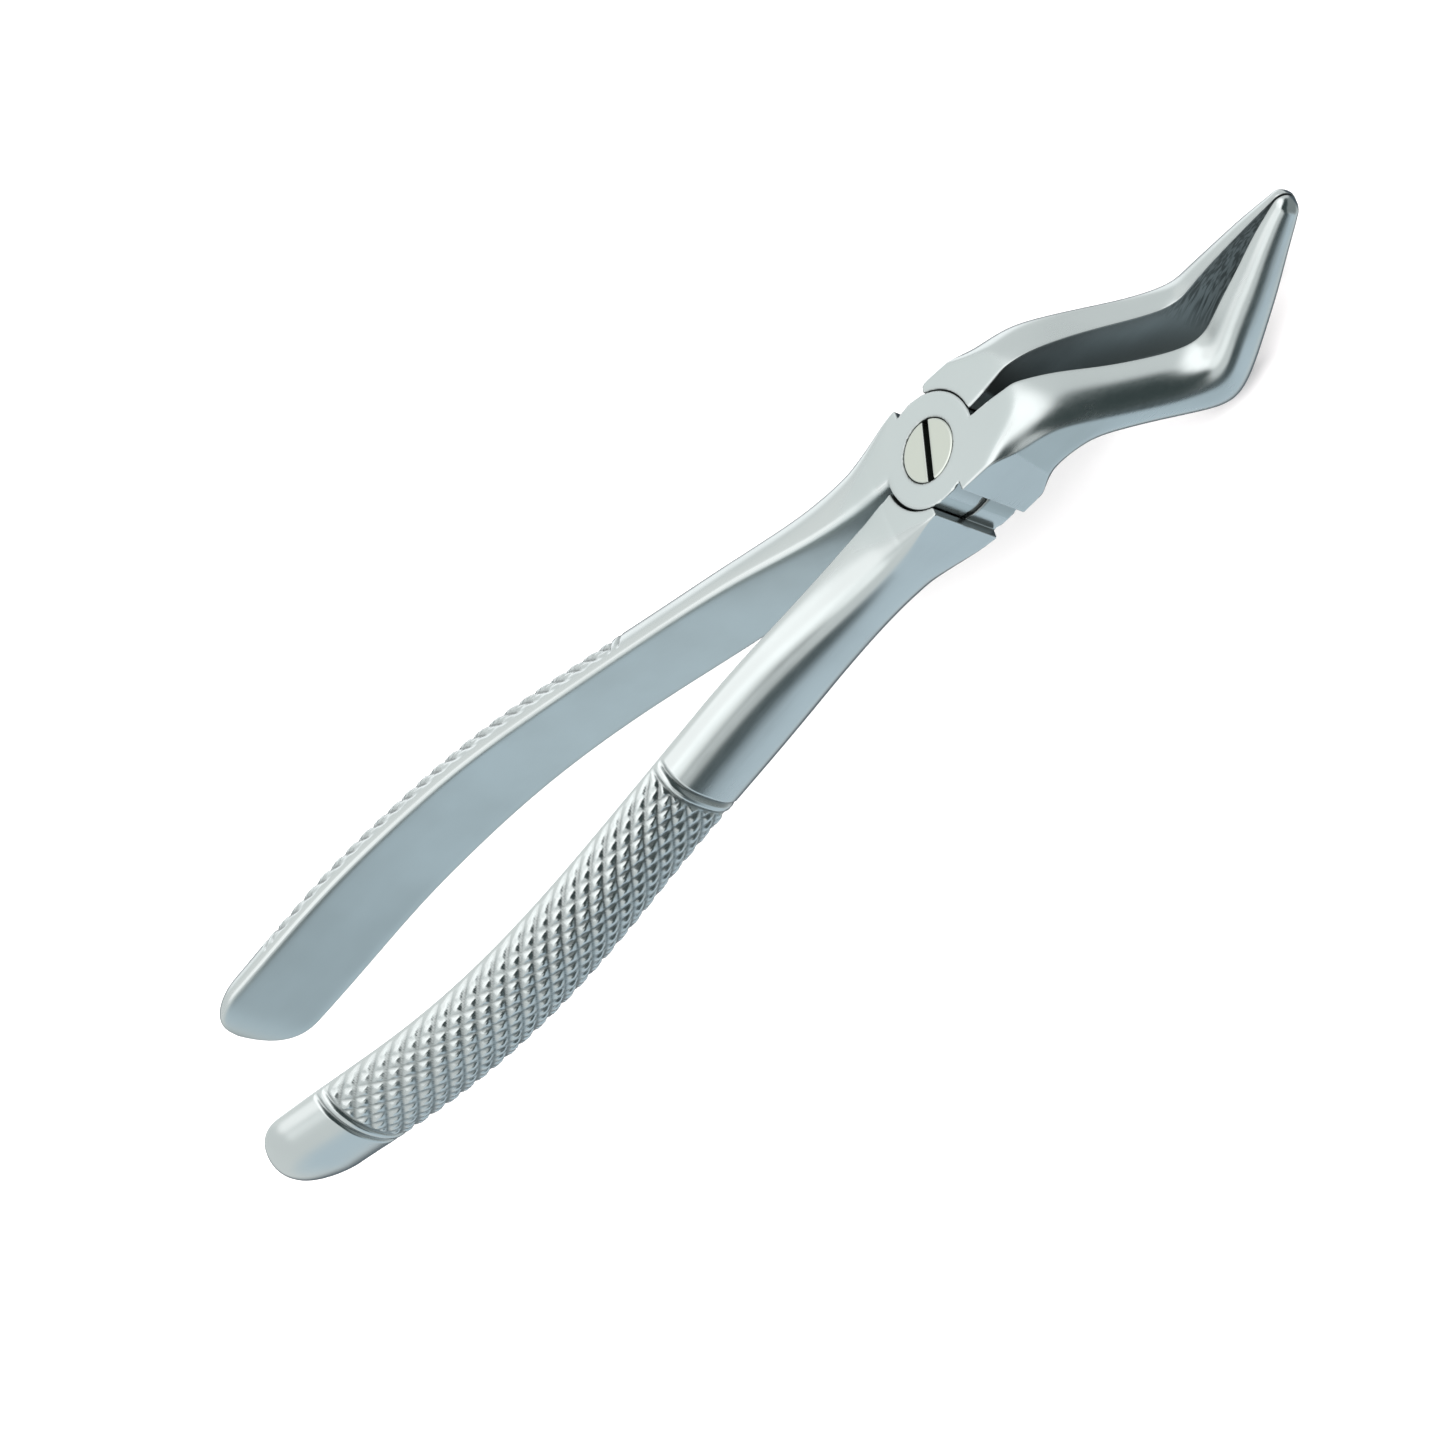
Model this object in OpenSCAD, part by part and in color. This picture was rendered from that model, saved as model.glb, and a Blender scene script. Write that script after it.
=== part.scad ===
// Upper-root extraction forceps, English pattern, with bayonet beaks.
// The pivot axis is Z. X runs to the beak tips, the joint's rear face lies at z = 0
// and the slotted screw head faces +Z. The two halves are mirror images across
// the plane y = 0, except that they swap layers where they cross at the joint.

/* [Joint] */
// Thickness of the joint, front face to rear face
joint_t = 10.5; // [9.5:0.5:11.5]
// Radius of the round boss on each half
boss_r = 7.3; // [7:0.1:7.6]
// Half width of the flat-sided joint block
block_w = 8.2; // [8.1:0.1:8.6]
// Distance from the pivot axis to the shoulder of each block
shoulder_x = 2.35; // [2.3:0.05:2.6]
// Clearance round each boss
boss_clear = 0.1; // [0.05:0.05:0.2]
// Clearance between the two sliding faces
face_clear = 0.06; // [0.04:0.02:0.1]

/* [Screw] */
// Radius of the screw head
head_r = 4; // [3.6:0.1:4.4]
// Height of the screw head
head_h = 2.2; // [1.8:0.1:2.6]
// Radius of the shank and of the thread's crests
shank_r = 2.5; // [2.2:0.1:2.8]
// Radial clearance of the head and shank in the front half
screw_clear = 0.05; // [0.02:0.01:0.09]
// Width of the screwdriver slot
slot_w = 0.9; // [0.7:0.1:1.2]
// Depth of the screwdriver slot
slot_h = 1.2; // [0.8:0.1:1.5]
// Turn of the slot from the Y direction, in degrees
slot_turn = -17; // [-90:1:90]
// Pitch of the thread
thread_pitch = 0.8; // [0.7:0.1:1]

/* [Handles] */
// Distance from the pivot axis to the end of the handles
handle_end = 127.5; // [125:0.5:129.5]
// Where the grip pattern starts, from the pivot axis
grip_from = 53; // [50:1:58]
// Where the grip pattern ends, from the pivot axis
grip_to = 111; // [108:1:113]
// Spacing of the grip pattern's rows
grip_pitch = 1.4; // [1.2:0.1:2]
// Depth of the grip pattern
grip_depth = 0.35; // [0.1:0.05:0.5]

/* [Hidden] */

mid_z = joint_t / 2;
steel = [0.78, 0.81, 0.82];
darker_steel = [0.62, 0.67, 0.7];
screw_steel = [0.85, 0.84, 0.8];

// Handle sections every 10 mm from the pivot axis to past the end:
// [inner face y, lowest z, highest z, thickness]
row_step = 10;
handle_rows = [
    [0.3, -2.2, 12.6, 12.6],
    [0.5, -1.0, 11.2, 8.9],
    [2.0, -0.5, 10.9, 7.1],
    [4.1, -0.6, 12.1, 6.2],
    [6.0, -0.6, 12.6, 5.8],
    [7.8, -0.1, 12.8, 5.8],
    [9.5, 0.3, 13.0, 5.8],
    [11.1, 0.2, 13.2, 5.9],
    [12.2, -0.1, 13.4, 5.8],
    [12.5, -0.3, 13.5, 5.8],
    [12.1, -0.3, 13.9, 5.8],
    [10.9, -0.3, 14.3, 5.6],
    [9.5, 0.0, 14.5, 5.2],
    [8.5, 0.3, 14.6, 4.8],
];

// Neck and beak sections, from the joint to the tip:
// [front edge x, z, rear edge x, z, inner face y, thickness]
arm_rows = [
    [1.2, 13.3, 1.6, -2.9, 0.3, 12.8],
    [6.5, 12.5, 5.3, -2.0, 0.35, 10.2],
    [10, 11.8, 8, -1.1, 0.45, 8.6],
    [13, 10.9, 10.4, -0.7, 0.95, 7.8],
    [16, 9.5, 12.7, -0.7, 1.65, 7.0],
    [19, 7.0, 15.1, -1.5, 2.15, 6.2],
    [22.3, 3.2, 17.8, -3.7, 2.75, 5.5],
    [25.6, -0.5, 21, -7.2, 2.95, 5.2],
    [28.3, -3.0, 24.3, -10.8, 3.05, 5.2],
    [30.8, -4.1, 27.5, -13.2, 3.15, 5.0],
    [33.4, -3.8, 32.1, -11.9, 3.1, 4.5],
    [37, -2.7, 37.0, -9.8, 2.5, 3.8],
    [41.2, -1.6, 41.9, -7.5, 1.8, 3.2],
    [45.5, -0.4, 46.3, -5.3, 0.95, 2.6],
    [49, 0.35, 49.8, -3.6, 0.4, 2.0],
    [50.8, 0.7, 51.3, -2.8, 0.17, 1.7],
    [52.4, 1.05, 52.7, -2.0, 0.12, 1.4],
];

// Steps round the outer curve of a section, which also set the grip pattern
outer_steps = 12;
// Steps across the hollow inner face of a beak
inner_steps = 4;
// Steps between two rows of the neck and beak table
arm_steps = 2;
// Steps round the tip of a beak
tip_steps = 4;
// Squareness of the outer curve: 2 is an ellipse
outer_power = 2.5;
// Spreads the points evenly round the outer curve
spread_power = 1.25;
// Depth of the hollow in the beaks' inner faces
hollow_depth = 0.9;
// The rounded ends of the handles
end_len = 7;
end_steps = 7;
end_roll = 1.8;
// The plain part of a handle
plain_step = 3.2;
// Pairs of grooves that bound the grip pattern
groove_gap = 1.6;
groove_half = 0.4;
groove_depth = 0.35;
// Where the flats of the joint block run out, and how fast the handle leaves them
face_flat_len = 14;
side_flat_len = 20;
flat_leave = 0.35;
rear_flat_len = 11.3;
reach = 150;
// Peened end of the screw, in a countersink in the rear half
peen_r = shank_r + 0.6;
peen_h = 0.8;
thread_depth = 0.4;
thread_clear = 0.02;
chamfer = 0.15;
facets = 96;

// Catmull-Rom curve through the rows of a table, with s counted in rows
function blend(a, b, c, d, t) =
    b + t * (c - a) / 2
    + t * t * (a - 2.5 * b + 2 * c - d / 2)
    + t * t * t * (1.5 * (b - c) + (d - a) / 2);
function along(rows, s) =
    let (i = min(floor(s), len(rows) - 2))
    blend(rows[max(i - 1, 0)], rows[i], rows[i + 1], rows[min(i + 2, len(rows) - 1)], s - i);

// Outer curve of a D-shaped section: q runs from -1 at the rear edge to 1 at the front edge.
// It gives the share of the thickness and the share of the way from rear to front.
function curve_angle(q) = 90 * sign(q) * pow(abs(q), spread_power);
function squared(v) = sign(v) * pow(abs(v), 2 / outer_power);
function outer_share(q) = [squared(cos(curve_angle(q))), (1 + squared(sin(curve_angle(q)))) / 2];

// Distances from the pivot axis at which a handle has a section, as [distance, kind]
plain_end = grip_from - 2 * groove_gap;
plain_count = ceil((plain_end - shoulder_x) / plain_step);
grip_count = round((grip_to - grip_from) / grip_pitch);
end_from = handle_end - end_len;
tail_from = grip_to + 2 * groove_gap;
function groove(d) = [[d - groove_half, "plain"], [d, "groove"], [d + groove_half, "plain"]];
handle_cuts = concat(
    [for (i = [0 : plain_count - 1]) [shoulder_x + i * (plain_end - shoulder_x) / plain_count, "plain"]],
    groove(grip_from - 1.8 * groove_gap),
    groove(grip_from - 0.9 * groove_gap),
    [for (i = [0 : grip_count]) [grip_from + i * (grip_to - grip_from) / grip_count, "grip"]],
    groove(grip_to + 0.9 * groove_gap),
    groove(grip_to + 1.8 * groove_gap),
    [[(tail_from + end_from) / 2 + 0.5, "plain"]],
    [for (i = [0 : end_steps]) [end_from + end_len * sin(i * 86 / end_steps), "plain"]]
);

// How deep a point of a handle section is sunk: i is the section, j the step round the curve
function sunk(kind, i, j) =
    j == 0 || j == outer_steps ? 0
    : kind == "groove" ? groove_depth
    : kind == "grip" && (i + j) % 2 == 1 ? grip_depth
    : 0;

function handle_ring(i) =
    let (
        d = handle_cuts[i][0],
        row = along(handle_rows, d / row_step),
        past = max(0, (d - end_from) / end_len),
        narrowing = sqrt(1 - past * past),
        mid = (row[1] + row[2]) / 2,
        half = (row[2] - row[1]) / 2 * narrowing,
        inner_y = row[0] + end_roll * pow(past, 3),
        thick = row[3] * pow(narrowing, 0.6) - end_roll * pow(past, 3) / 2
    )
    [for (j = [0 : outer_steps])
        let (
            share = outer_share(2 * j / outer_steps - 1),
            depth = sunk(handle_cuts[i][1], i, j)
        )
        [-d, inner_y + (thick - depth) * share[0], mid + (half - depth) * (2 * share[1] - 1)]
    ];

function arm_ring(s) =
    let (
        row = along(arm_rows, s),
        past = max(0, s - (len(arm_rows) - 2)),
        narrowing = sqrt(1 - past * past),
        mid = [row[0] + row[2], row[1] + row[3]] / 2,
        front = mid + ([row[0], row[1]] - mid) * narrowing,
        rear = mid + ([row[2], row[3]] - mid) * narrowing,
        thick = row[5] * narrowing
    )
    concat(
        [for (j = [0 : outer_steps])
            let (
                share = outer_share(2 * j / outer_steps - 1),
                p = rear + (front - rear) * share[1]
            )
            [p[0], row[4] + thick * share[0], p[1]]
        ],
        [for (j = [1 : inner_steps - 1])
            let (
                f = 1 - j / inner_steps,
                p = rear + (front - rear) * f,
                fade = min(1, s / 4, (len(arm_rows) - 2 - s) / 3),
                hollow = hollow_depth * 4 * f * (1 - f) * max(0, fade)
            )
            [p[0], row[4] + hollow, p[1]]
        ]
    );

function middle(ring) = [for (p = ring) 1] * ring / len(ring);

// Closed solid through a list of rings, in order of falling X, with equal numbers of points.
// The diagonals alternate so that the grip pattern's valleys are straight.
module loft(rings) {
    n = len(rings[0]);
    last = len(rings) - 1;
    sides = [
        for (i = [0 : last - 1], j = [0 : n - 1])
            let (a = i * n + j, b = i * n + (j + 1) % n, c = b + n, d = a + n)
            each (i + j) % 2 == 0 ? [[a, b, d], [b, c, d]] : [[a, b, c], [a, c, d]]
    ];
    first_cap = [for (j = [0 : n - 1]) [(j + 1) % n, j, (last + 1) * n]];
    last_cap = [for (j = [0 : n - 1]) [last * n + j, last * n + (j + 1) % n, (last + 1) * n + 1]];
    polyhedron(
        points = concat([for (ring = rings) each ring], [middle(rings[0]), middle(rings[last])]),
        faces = concat(first_cap, sides, last_cap),
        convexity = 6
    );
}

// Solid with the given outline in the X-Z plane, right across the part
module side_view(outline) {
    rotate([90, 0, 0]) translate([0, 0, -reach]) linear_extrude(2 * reach) polygon(outline);
}

// Solid with the given outline in the X-Y plane, right through the part
module top_view(outline) {
    translate([0, 0, -reach]) linear_extrude(2 * reach) polygon(outline);
}

// One handle on the +Y side. The flats of the joint block cut into its rounded form and run out.
module handle() {
    out = reach * flat_leave;
    intersection() {
        loft([for (i = [0 : len(handle_cuts) - 1]) handle_ring(i)]);
        side_view([
            [1, 0], [1, joint_t], [-face_flat_len, joint_t],
            [-face_flat_len - reach, joint_t + out], [-face_flat_len - reach, -out], [-face_flat_len, 0]
        ]);
        top_view([
            [1, -1], [1, block_w], [-side_flat_len, block_w],
            [-side_flat_len - reach, block_w + out], [-side_flat_len - reach, -1]
        ]);
    }
}

// One neck and beak on the +Y side. The flats of the joint block cut into the neck.
module arm() {
    last_row = len(arm_rows) - 2;
    intersection() {
        loft(concat(
            [for (i = [tip_steps : -1 : 1]) arm_ring(last_row + sin(i * 84 / tip_steps))],
            [for (i = [last_row * arm_steps : -1 : 0]) arm_ring(i / arm_steps)]
        ));
        side_view([
            [shoulder_x, 0], [rear_flat_len, 0], [rear_flat_len + reach, -reach],
            [rear_flat_len + reach, joint_t], [shoulder_x, joint_t]
        ]);
        top_view([[1, -1], [reach, -1], [reach, block_w], [1, block_w]]);
    }
}

module disc(r, z0, z1) {
    translate([0, 0, z0]) cylinder(r = r, h = z1 - z0, $fn = facets);
}

module front_half() {
    color(steel)
    difference() {
        union() {
            handle();
            mirror([0, 1, 0]) arm();
            disc(boss_r, mid_z, joint_t);
        }
        // seat for the rear half's boss
        disc(boss_r + boss_clear, -5, mid_z + face_clear / 2);
        // hole for the screw
        disc(shank_r + screw_clear, 0, joint_t);
        disc(head_r + screw_clear, joint_t - head_h - screw_clear, joint_t + 1);
    }
}

module rear_half() {
    color(darker_steel)
    difference() {
        union() {
            mirror([0, 1, 0]) handle();
            arm();
            disc(boss_r, 0, mid_z);
        }
        // seat for the front half's boss
        disc(boss_r + boss_clear, mid_z - face_clear / 2, joint_t + 5);
        // hole for the thread, with a countersink at the rear
        disc(shank_r + thread_clear, -1, mid_z);
        rotate_extrude($fn = facets)
            polygon([
                [0, -thread_clear],
                [peen_r + thread_clear, -thread_clear],
                [shank_r + thread_clear, peen_h],
                [0, peen_h]
            ]);
    }
}

module pivot_screw() {
    thread_count = floor((mid_z - peen_h - 0.3) / thread_pitch);
    color(screw_steel)
    difference() {
        rotate_extrude($fn = facets)
            polygon(concat(
                [[0, 0], [peen_r, 0], [shank_r, peen_h]],
                [for (i = [0 : thread_count - 1])
                    let (z = peen_h + i * thread_pitch)
                    each [
                        [shank_r, z + thread_pitch * 0.2],
                        [shank_r - thread_depth, z + thread_pitch * 0.6],
                        [shank_r, z + thread_pitch]
                    ]
                ],
                [
                    [shank_r, joint_t - head_h],
                    [head_r, joint_t - head_h],
                    [head_r, joint_t - chamfer],
                    [head_r - chamfer, joint_t],
                    [0, joint_t]
                ]
            ));
        rotate([0, 0, slot_turn])
            translate([-slot_w / 2, -head_r - 1, joint_t - slot_h])
            cube([slot_w, 2 * head_r + 2, slot_h + 1]);
    }
}

front_half();
rear_half();
pivot_screw();
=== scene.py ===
"""Extraction forceps: the looks of the two halves and the pivot screw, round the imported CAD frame.

Shapes are worked out in millimetres in the frame's axes and scaled to metres when a mesh is made.
Each half is one closed mesh: a rounded joint, a swept neck and beak, and a swept handle with its grip.
"""

import math

import bmesh
import bpy
import numpy as np
from mathutils import Matrix


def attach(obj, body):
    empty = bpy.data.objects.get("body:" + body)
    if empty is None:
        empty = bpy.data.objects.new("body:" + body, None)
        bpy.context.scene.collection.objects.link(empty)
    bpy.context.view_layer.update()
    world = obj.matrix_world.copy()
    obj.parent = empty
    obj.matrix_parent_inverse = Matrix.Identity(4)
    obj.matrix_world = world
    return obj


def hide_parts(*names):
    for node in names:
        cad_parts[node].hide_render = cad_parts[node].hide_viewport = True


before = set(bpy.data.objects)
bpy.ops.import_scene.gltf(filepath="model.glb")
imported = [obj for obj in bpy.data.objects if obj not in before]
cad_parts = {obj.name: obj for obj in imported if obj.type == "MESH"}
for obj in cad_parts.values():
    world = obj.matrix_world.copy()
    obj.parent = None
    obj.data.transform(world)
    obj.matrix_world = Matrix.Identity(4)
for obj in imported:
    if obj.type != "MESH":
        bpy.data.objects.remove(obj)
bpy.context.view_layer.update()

MM = 0.001

# ---------------------------------------------------------------- dimensions, as the CAD has them
JOINT_T = 10.5
MID_Z = JOINT_T / 2
BOSS_R = 7.3
BLOCK_W = 8.2
SHOULDER_X = 2.35
BOSS_CLEAR = 0.1
FACE_CLEAR = 0.06
HEAD_R = 4.0
HEAD_H = 2.2
SHANK_R = 2.5
SCREW_CLEAR = 0.05
THREAD_CLEAR = 0.02
PEEN_R = 3.1
PEEN_H = 0.8
SLOT_W = 0.9
SLOT_H = 1.2
SLOT_TURN = -17
HANDLE_END = 127.5
END_LEN = 7.0
END_ROLL = 1.8
GRIP_FROM = 53.0
GRIP_TO = 111.0
GROOVE_GAP = 1.6
REAR_FLAT_LEN = 11.3
OUTER_POWER = 2.5
HOLLOW_DEPTH = 0.9

# Handle sections every 10 mm from the pivot axis: inner face y, lowest z, highest z, thickness
ROW_STEP = 10.0
HANDLE_ROWS = np.array([
    [0.3, -2.2, 12.6, 12.6],
    [0.5, -1.0, 11.2, 8.9],
    [2.0, -0.5, 10.9, 7.1],
    [4.1, -0.6, 12.1, 6.2],
    [6.0, -0.6, 12.6, 5.8],
    [7.8, -0.1, 12.8, 5.8],
    [9.5, 0.3, 13.0, 5.8],
    [11.1, 0.2, 13.2, 5.9],
    [12.2, -0.1, 13.4, 5.8],
    [12.5, -0.3, 13.5, 5.8],
    [12.1, -0.3, 13.9, 5.8],
    [10.9, -0.3, 14.3, 5.6],
    [9.5, 0.0, 14.5, 5.2],
    [8.5, 0.3, 14.6, 4.8],
])
# Neck and beak sections: front edge x, z, rear edge x, z, inner face y, thickness
ARM_ROWS = np.array([
    [1.2, 13.3, 1.6, -2.9, 0.3, 12.8],
    [6.5, 12.5, 5.3, -2.0, 0.35, 10.2],
    [10, 11.8, 8, -1.1, 0.45, 8.6],
    [13, 10.9, 10.4, -0.7, 0.95, 7.8],
    [16, 9.5, 12.7, -0.7, 1.65, 7.0],
    [19, 7.0, 15.1, -1.5, 2.15, 6.2],
    [22.3, 3.2, 17.8, -3.7, 2.75, 5.5],
    [25.6, -0.5, 21, -7.2, 2.95, 5.2],
    [28.3, -3.0, 24.3, -10.8, 3.05, 5.2],
    [30.8, -4.1, 27.5, -13.2, 3.15, 5.0],
    [33.4, -3.8, 32.1, -11.9, 3.1, 4.5],
    [37, -2.7, 37.0, -9.8, 2.5, 3.8],
    [41.2, -1.6, 41.9, -7.5, 1.8, 3.2],
    [45.5, -0.4, 46.3, -5.3, 0.95, 2.6],
    [49, 0.35, 49.8, -3.6, 0.4, 2.0],
    [50.8, 0.7, 51.3, -2.8, 0.17, 1.7],
    [52.4, 1.05, 52.7, -2.0, 0.12, 1.4],
])
TIP_ROW = len(ARM_ROWS) - 2

# ---------------------------------------------------------------- dimensions of the finer shapes
# The handle's front and rear flats and its side flat bend away from the joint: start, and rise per mm squared
FACE_FLAT = (4.5, 0.0036)
SIDE_FLAT = (4.0, 0.0024)
GRIP_POWER = 2.15    # how square the handle's section is at the grip, where 2 is an ellipse
ROUNDER_FROM = 8     # its section changes to that from here
ROUNDER_LEN = 22     # over this length
EDGE = 0.05          # softness of the edges between surfaces
FLAT_EDGE = 0.75     # softness of the flats' edges on the handle, where they have run out
FLAT_EDGE_LEN = 10.0
NECK_EDGE = 0.12     # softness of the flats' edges on the neck
INNER_EDGE = 0.34    # softness of the handle's inner edges
REAR_CORNER = 0.4    # softness of the rear half's corner at the shoulder
REAR_FLAT_FADE = 0.6 # softness of the end of the joint's rear flat on the beak side
FIRST_CUTS = (2.7, 12)   # pitch of the deeper cuts along the handle in mm, and round it in points of a ring
SECOND_CUTS = (4.0, 8)   # and of the shallower cuts that cross them
GRIP_DEPTH = 0.42
# How far round from the ridge of the handle the grip reaches, as a share of the ring
GRIP_EDGES = {"front": 0.515, "rear": 0.56}
CROSS_SHARE = 0.9    # depth of the second cuts as a share of the first's
GROOVE_HALF = 0.45
GROOVE_DEPTH = 0.42
SEAM_HALF = 0.42     # the open seam between the two layers, at the side of the joint
SEAM_DEPTH = 0.5
GROOVES = [GRIP_FROM - 1.8 * GROOVE_GAP, GRIP_FROM - 0.9 * GROOVE_GAP,
           GRIP_TO + 0.9 * GROOVE_GAP, GRIP_TO + 1.8 * GROOVE_GAP]
HEAD_CHAMFER = 0.15
THREAD_PITCH = 0.8
THREAD_DEPTH = 0.4

# ---------------------------------------------------------------- how finely the shapes are made
CELL = 0.24          # grid of the joint
SCREW_CELL = 0.125   # grid of the screw
ARM_RING = 128       # points round a section of the neck and beak
ARM_SECTIONS = 150
HANDLE_RING = 160    # points round a section of the handle
RING_GAP = 0.3       # distance between the rings of the grip
GROOVE_RING_GAP = 0.16
JOINT_BACK = 8.8     # the grid of the joint reaches from here on the handle side
JOINT_FRONT = 9.4    # to here on the beak side


def controls(rows):
    """Control rows of a smooth curve that runs through, or very near, the rows of a table."""
    around = np.concatenate([[2 * rows[0] - rows[1]], rows, [2 * rows[-1] - rows[-2]]])
    inner = rows - (around[:-2] - 2 * rows + around[2:]) / 6
    return np.concatenate([[2 * inner[0] - inner[1]], inner, [2 * inner[-1] - inner[-2]]])


def along(curve, s):
    """A point of the smooth curve, with s counted in rows of its table."""
    s = np.clip(np.asarray(s, float), 0, len(curve) - 3)
    i = np.minimum(np.floor(s).astype(int), len(curve) - 4)
    t = (s - i)[..., None]
    a, b, c, d = (curve[i + k] for k in range(4))
    before = (1 - t)**3 * a + (3 * t**3 - 6 * t**2 + 4) * b
    after = (1 + 3 * t + 3 * t**2 - 3 * t**3) * c + t**3 * d
    return (before + after) / 6


HANDLE_CURVE = controls(HANDLE_ROWS)
ARM_CURVE = controls(ARM_ROWS)


def soft_max(parts, soft=EDGE):
    """The largest of several distances, with the corner between them rounded off."""
    top = np.maximum.reduce(parts)
    return top + soft * np.log(sum(np.exp((p - top) / soft) for p in parts))


def soft_min(parts, soft=EDGE):
    return -soft_max([-p for p in parts], soft)


def curve_distance(y, s, thick, half, power):
    """Distance to the D-shaped outer curve, measured towards the middle of the inner face."""
    reach = np.hypot(y, s) + 1e-9
    size = (np.abs(y / thick) ** power + np.abs(s / half) ** power) ** (1 / power) + 1e-9
    return reach * (1 - 1 / size)


# ---------------------------------------------------------------- sections of the handle and the arm
# A section is a dict of arrays, one value for each section: the middle of its inner edge line (x, z),
# the direction of that line (ex, ez), its half length, the inner face's y and the thickness.

def handle_section(d):
    """Sections of the handle at distances d from the pivot axis."""
    rounder = np.clip((d - ROUNDER_FROM) / ROUNDER_LEN, 0, 1)
    row = along(HANDLE_CURVE, d / ROW_STEP)
    past = np.clip((d - (HANDLE_END - END_LEN)) / END_LEN, 0, 1)
    narrowing = np.sqrt(1 - past**2)
    return {
        "x": -d,
        "z": (row[..., 1] + row[..., 2]) / 2,
        "ex": np.zeros_like(d),
        "ez": np.ones_like(d),
        "half": (row[..., 2] - row[..., 1]) / 2 * narrowing,
        "y": row[..., 0] + END_ROLL * past**3,
        "power": OUTER_POWER + (GRIP_POWER - OUTER_POWER) * rounder,
        "thick": row[..., 3] * narrowing**0.6 - END_ROLL * past**3 / 2,
        "hollow": np.zeros_like(d),
    }


def arm_section(s):
    """Sections of the neck and beak, with s counted in rows of their table."""
    row = along(ARM_CURVE, s)
    past = np.clip(s - TIP_ROW, 0, 1)
    narrowing = np.sqrt(1 - past**2)
    dx, dz = row[..., 0] - row[..., 2], row[..., 1] - row[..., 3]
    length = np.hypot(dx, dz)
    return {
        "x": (row[..., 0] + row[..., 2]) / 2,
        "z": (row[..., 1] + row[..., 3]) / 2,
        "ex": dx / length,
        "ez": dz / length,
        "half": length / 2 * narrowing,
        "y": row[..., 4],
        "power": np.full_like(s, OUTER_POWER),
        "thick": row[..., 5] * narrowing,
        "hollow": HOLLOW_DEPTH * np.clip(np.minimum(s / 4, (TIP_ROW - s) / 3), 0, 1),
    }


def section_distance(sec, y, s):
    """Distance to the D-shaped section, without the joint's flats. y and s are in the section's plane."""
    outer = curve_distance(y - sec["y"], s, sec["thick"], sec["half"], sec["power"])
    share = np.clip(s / sec["half"], -1, 1)
    inner = sec["y"] + sec["hollow"] * (1 - share**2) - y
    return outer, inner


def in_frame(sec, s):
    """x and z in the frame of points in the sections' planes."""
    return sec["x"] + s * sec["ex"], sec["z"] + s * sec["ez"]


def handle_flats(x, y, z):
    """Distances to the handle's front, rear and side flats."""
    face = FACE_FLAT[1] * np.clip(-x - FACE_FLAT[0], 0, None) ** 2
    side = SIDE_FLAT[1] * np.clip(-x - SIDE_FLAT[0], 0, None) ** 2
    return z - JOINT_T - face, -z - face, y - BLOCK_W - side


def rear_flat(x, z):
    """Distance to the joint's rear face, which lets the neck pass below it past REAR_FLAT_LEN."""
    return -z - soft_max([x - REAR_FLAT_LEN, 0 * x], REAR_FLAT_FADE)


def arm_flats(x, y, z):
    """Distances to the neck's front, rear and side flats."""
    return z - JOINT_T, rear_flat(x, z), y - BLOCK_W


def flat_edge(x):
    """Softness of the flats' edges: crisp at the joint, rounder along the handle and the neck."""
    on_handle = FLAT_EDGE * np.clip((-x - SHOULDER_X) / FLAT_EDGE_LEN, 0, 1)
    return EDGE + on_handle + NECK_EDGE * np.clip((x - SHOULDER_X) / 5, 0, 1)


def handle_body(sec, y, s):
    """The handle between its side flat and its inner face, without the front and rear flats."""
    x, z = in_frame(sec, s)
    outer, inner = section_distance(sec, y, s)
    inner_edge = EDGE + INNER_EDGE * np.clip((-x - SHOULDER_X) / FLAT_EDGE_LEN, 0, 1)
    return soft_max([soft_max([outer, handle_flats(x, y, z)[2]], flat_edge(x)), inner], inner_edge)


def handle_distance(sec, y, s):
    x, z = in_frame(sec, s)
    return soft_max([handle_body(sec, y, s), *handle_flats(x, y, z)[:2]], flat_edge(x))


def arm_distance(sec, y, s):
    x, z = in_frame(sec, s)
    front, rear, side = arm_flats(x, y, z)
    return soft_max([soft_max([*section_distance(sec, y, s), side]), front, rear], flat_edge(x))


def share_of(parts, chosen, soft=0.1):
    """How far each point belongs to the chosen surfaces, from 0 to 1."""
    top = np.maximum.reduce(parts)
    weights = [np.exp((p - top) / soft) for p in parts]
    return sum(weights[i] for i in chosen) / sum(weights)


# ---------------------------------------------------------------- the joint, as one rounded solid
# u is x at mid-height. On the beak side the grid leans with the arm's sections.
LEAN_S = np.linspace(0, 4, 81)
FIRST_SECTIONS = arm_section(LEAN_S)
LEAN_K = FIRST_SECTIONS["ex"] / FIRST_SECTIONS["ez"]
LEAN_U = FIRST_SECTIONS["x"] + LEAN_K * (MID_Z - FIRST_SECTIONS["z"])


def lean(u):
    """How far x moves for each mm of z along a line of the grid."""
    return np.interp(u, np.concatenate([[0.0], LEAN_U]), np.concatenate([[0.0], LEAN_K]))


def joint_x(u, z):
    return u + lean(u) * (z - MID_Z)


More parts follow.
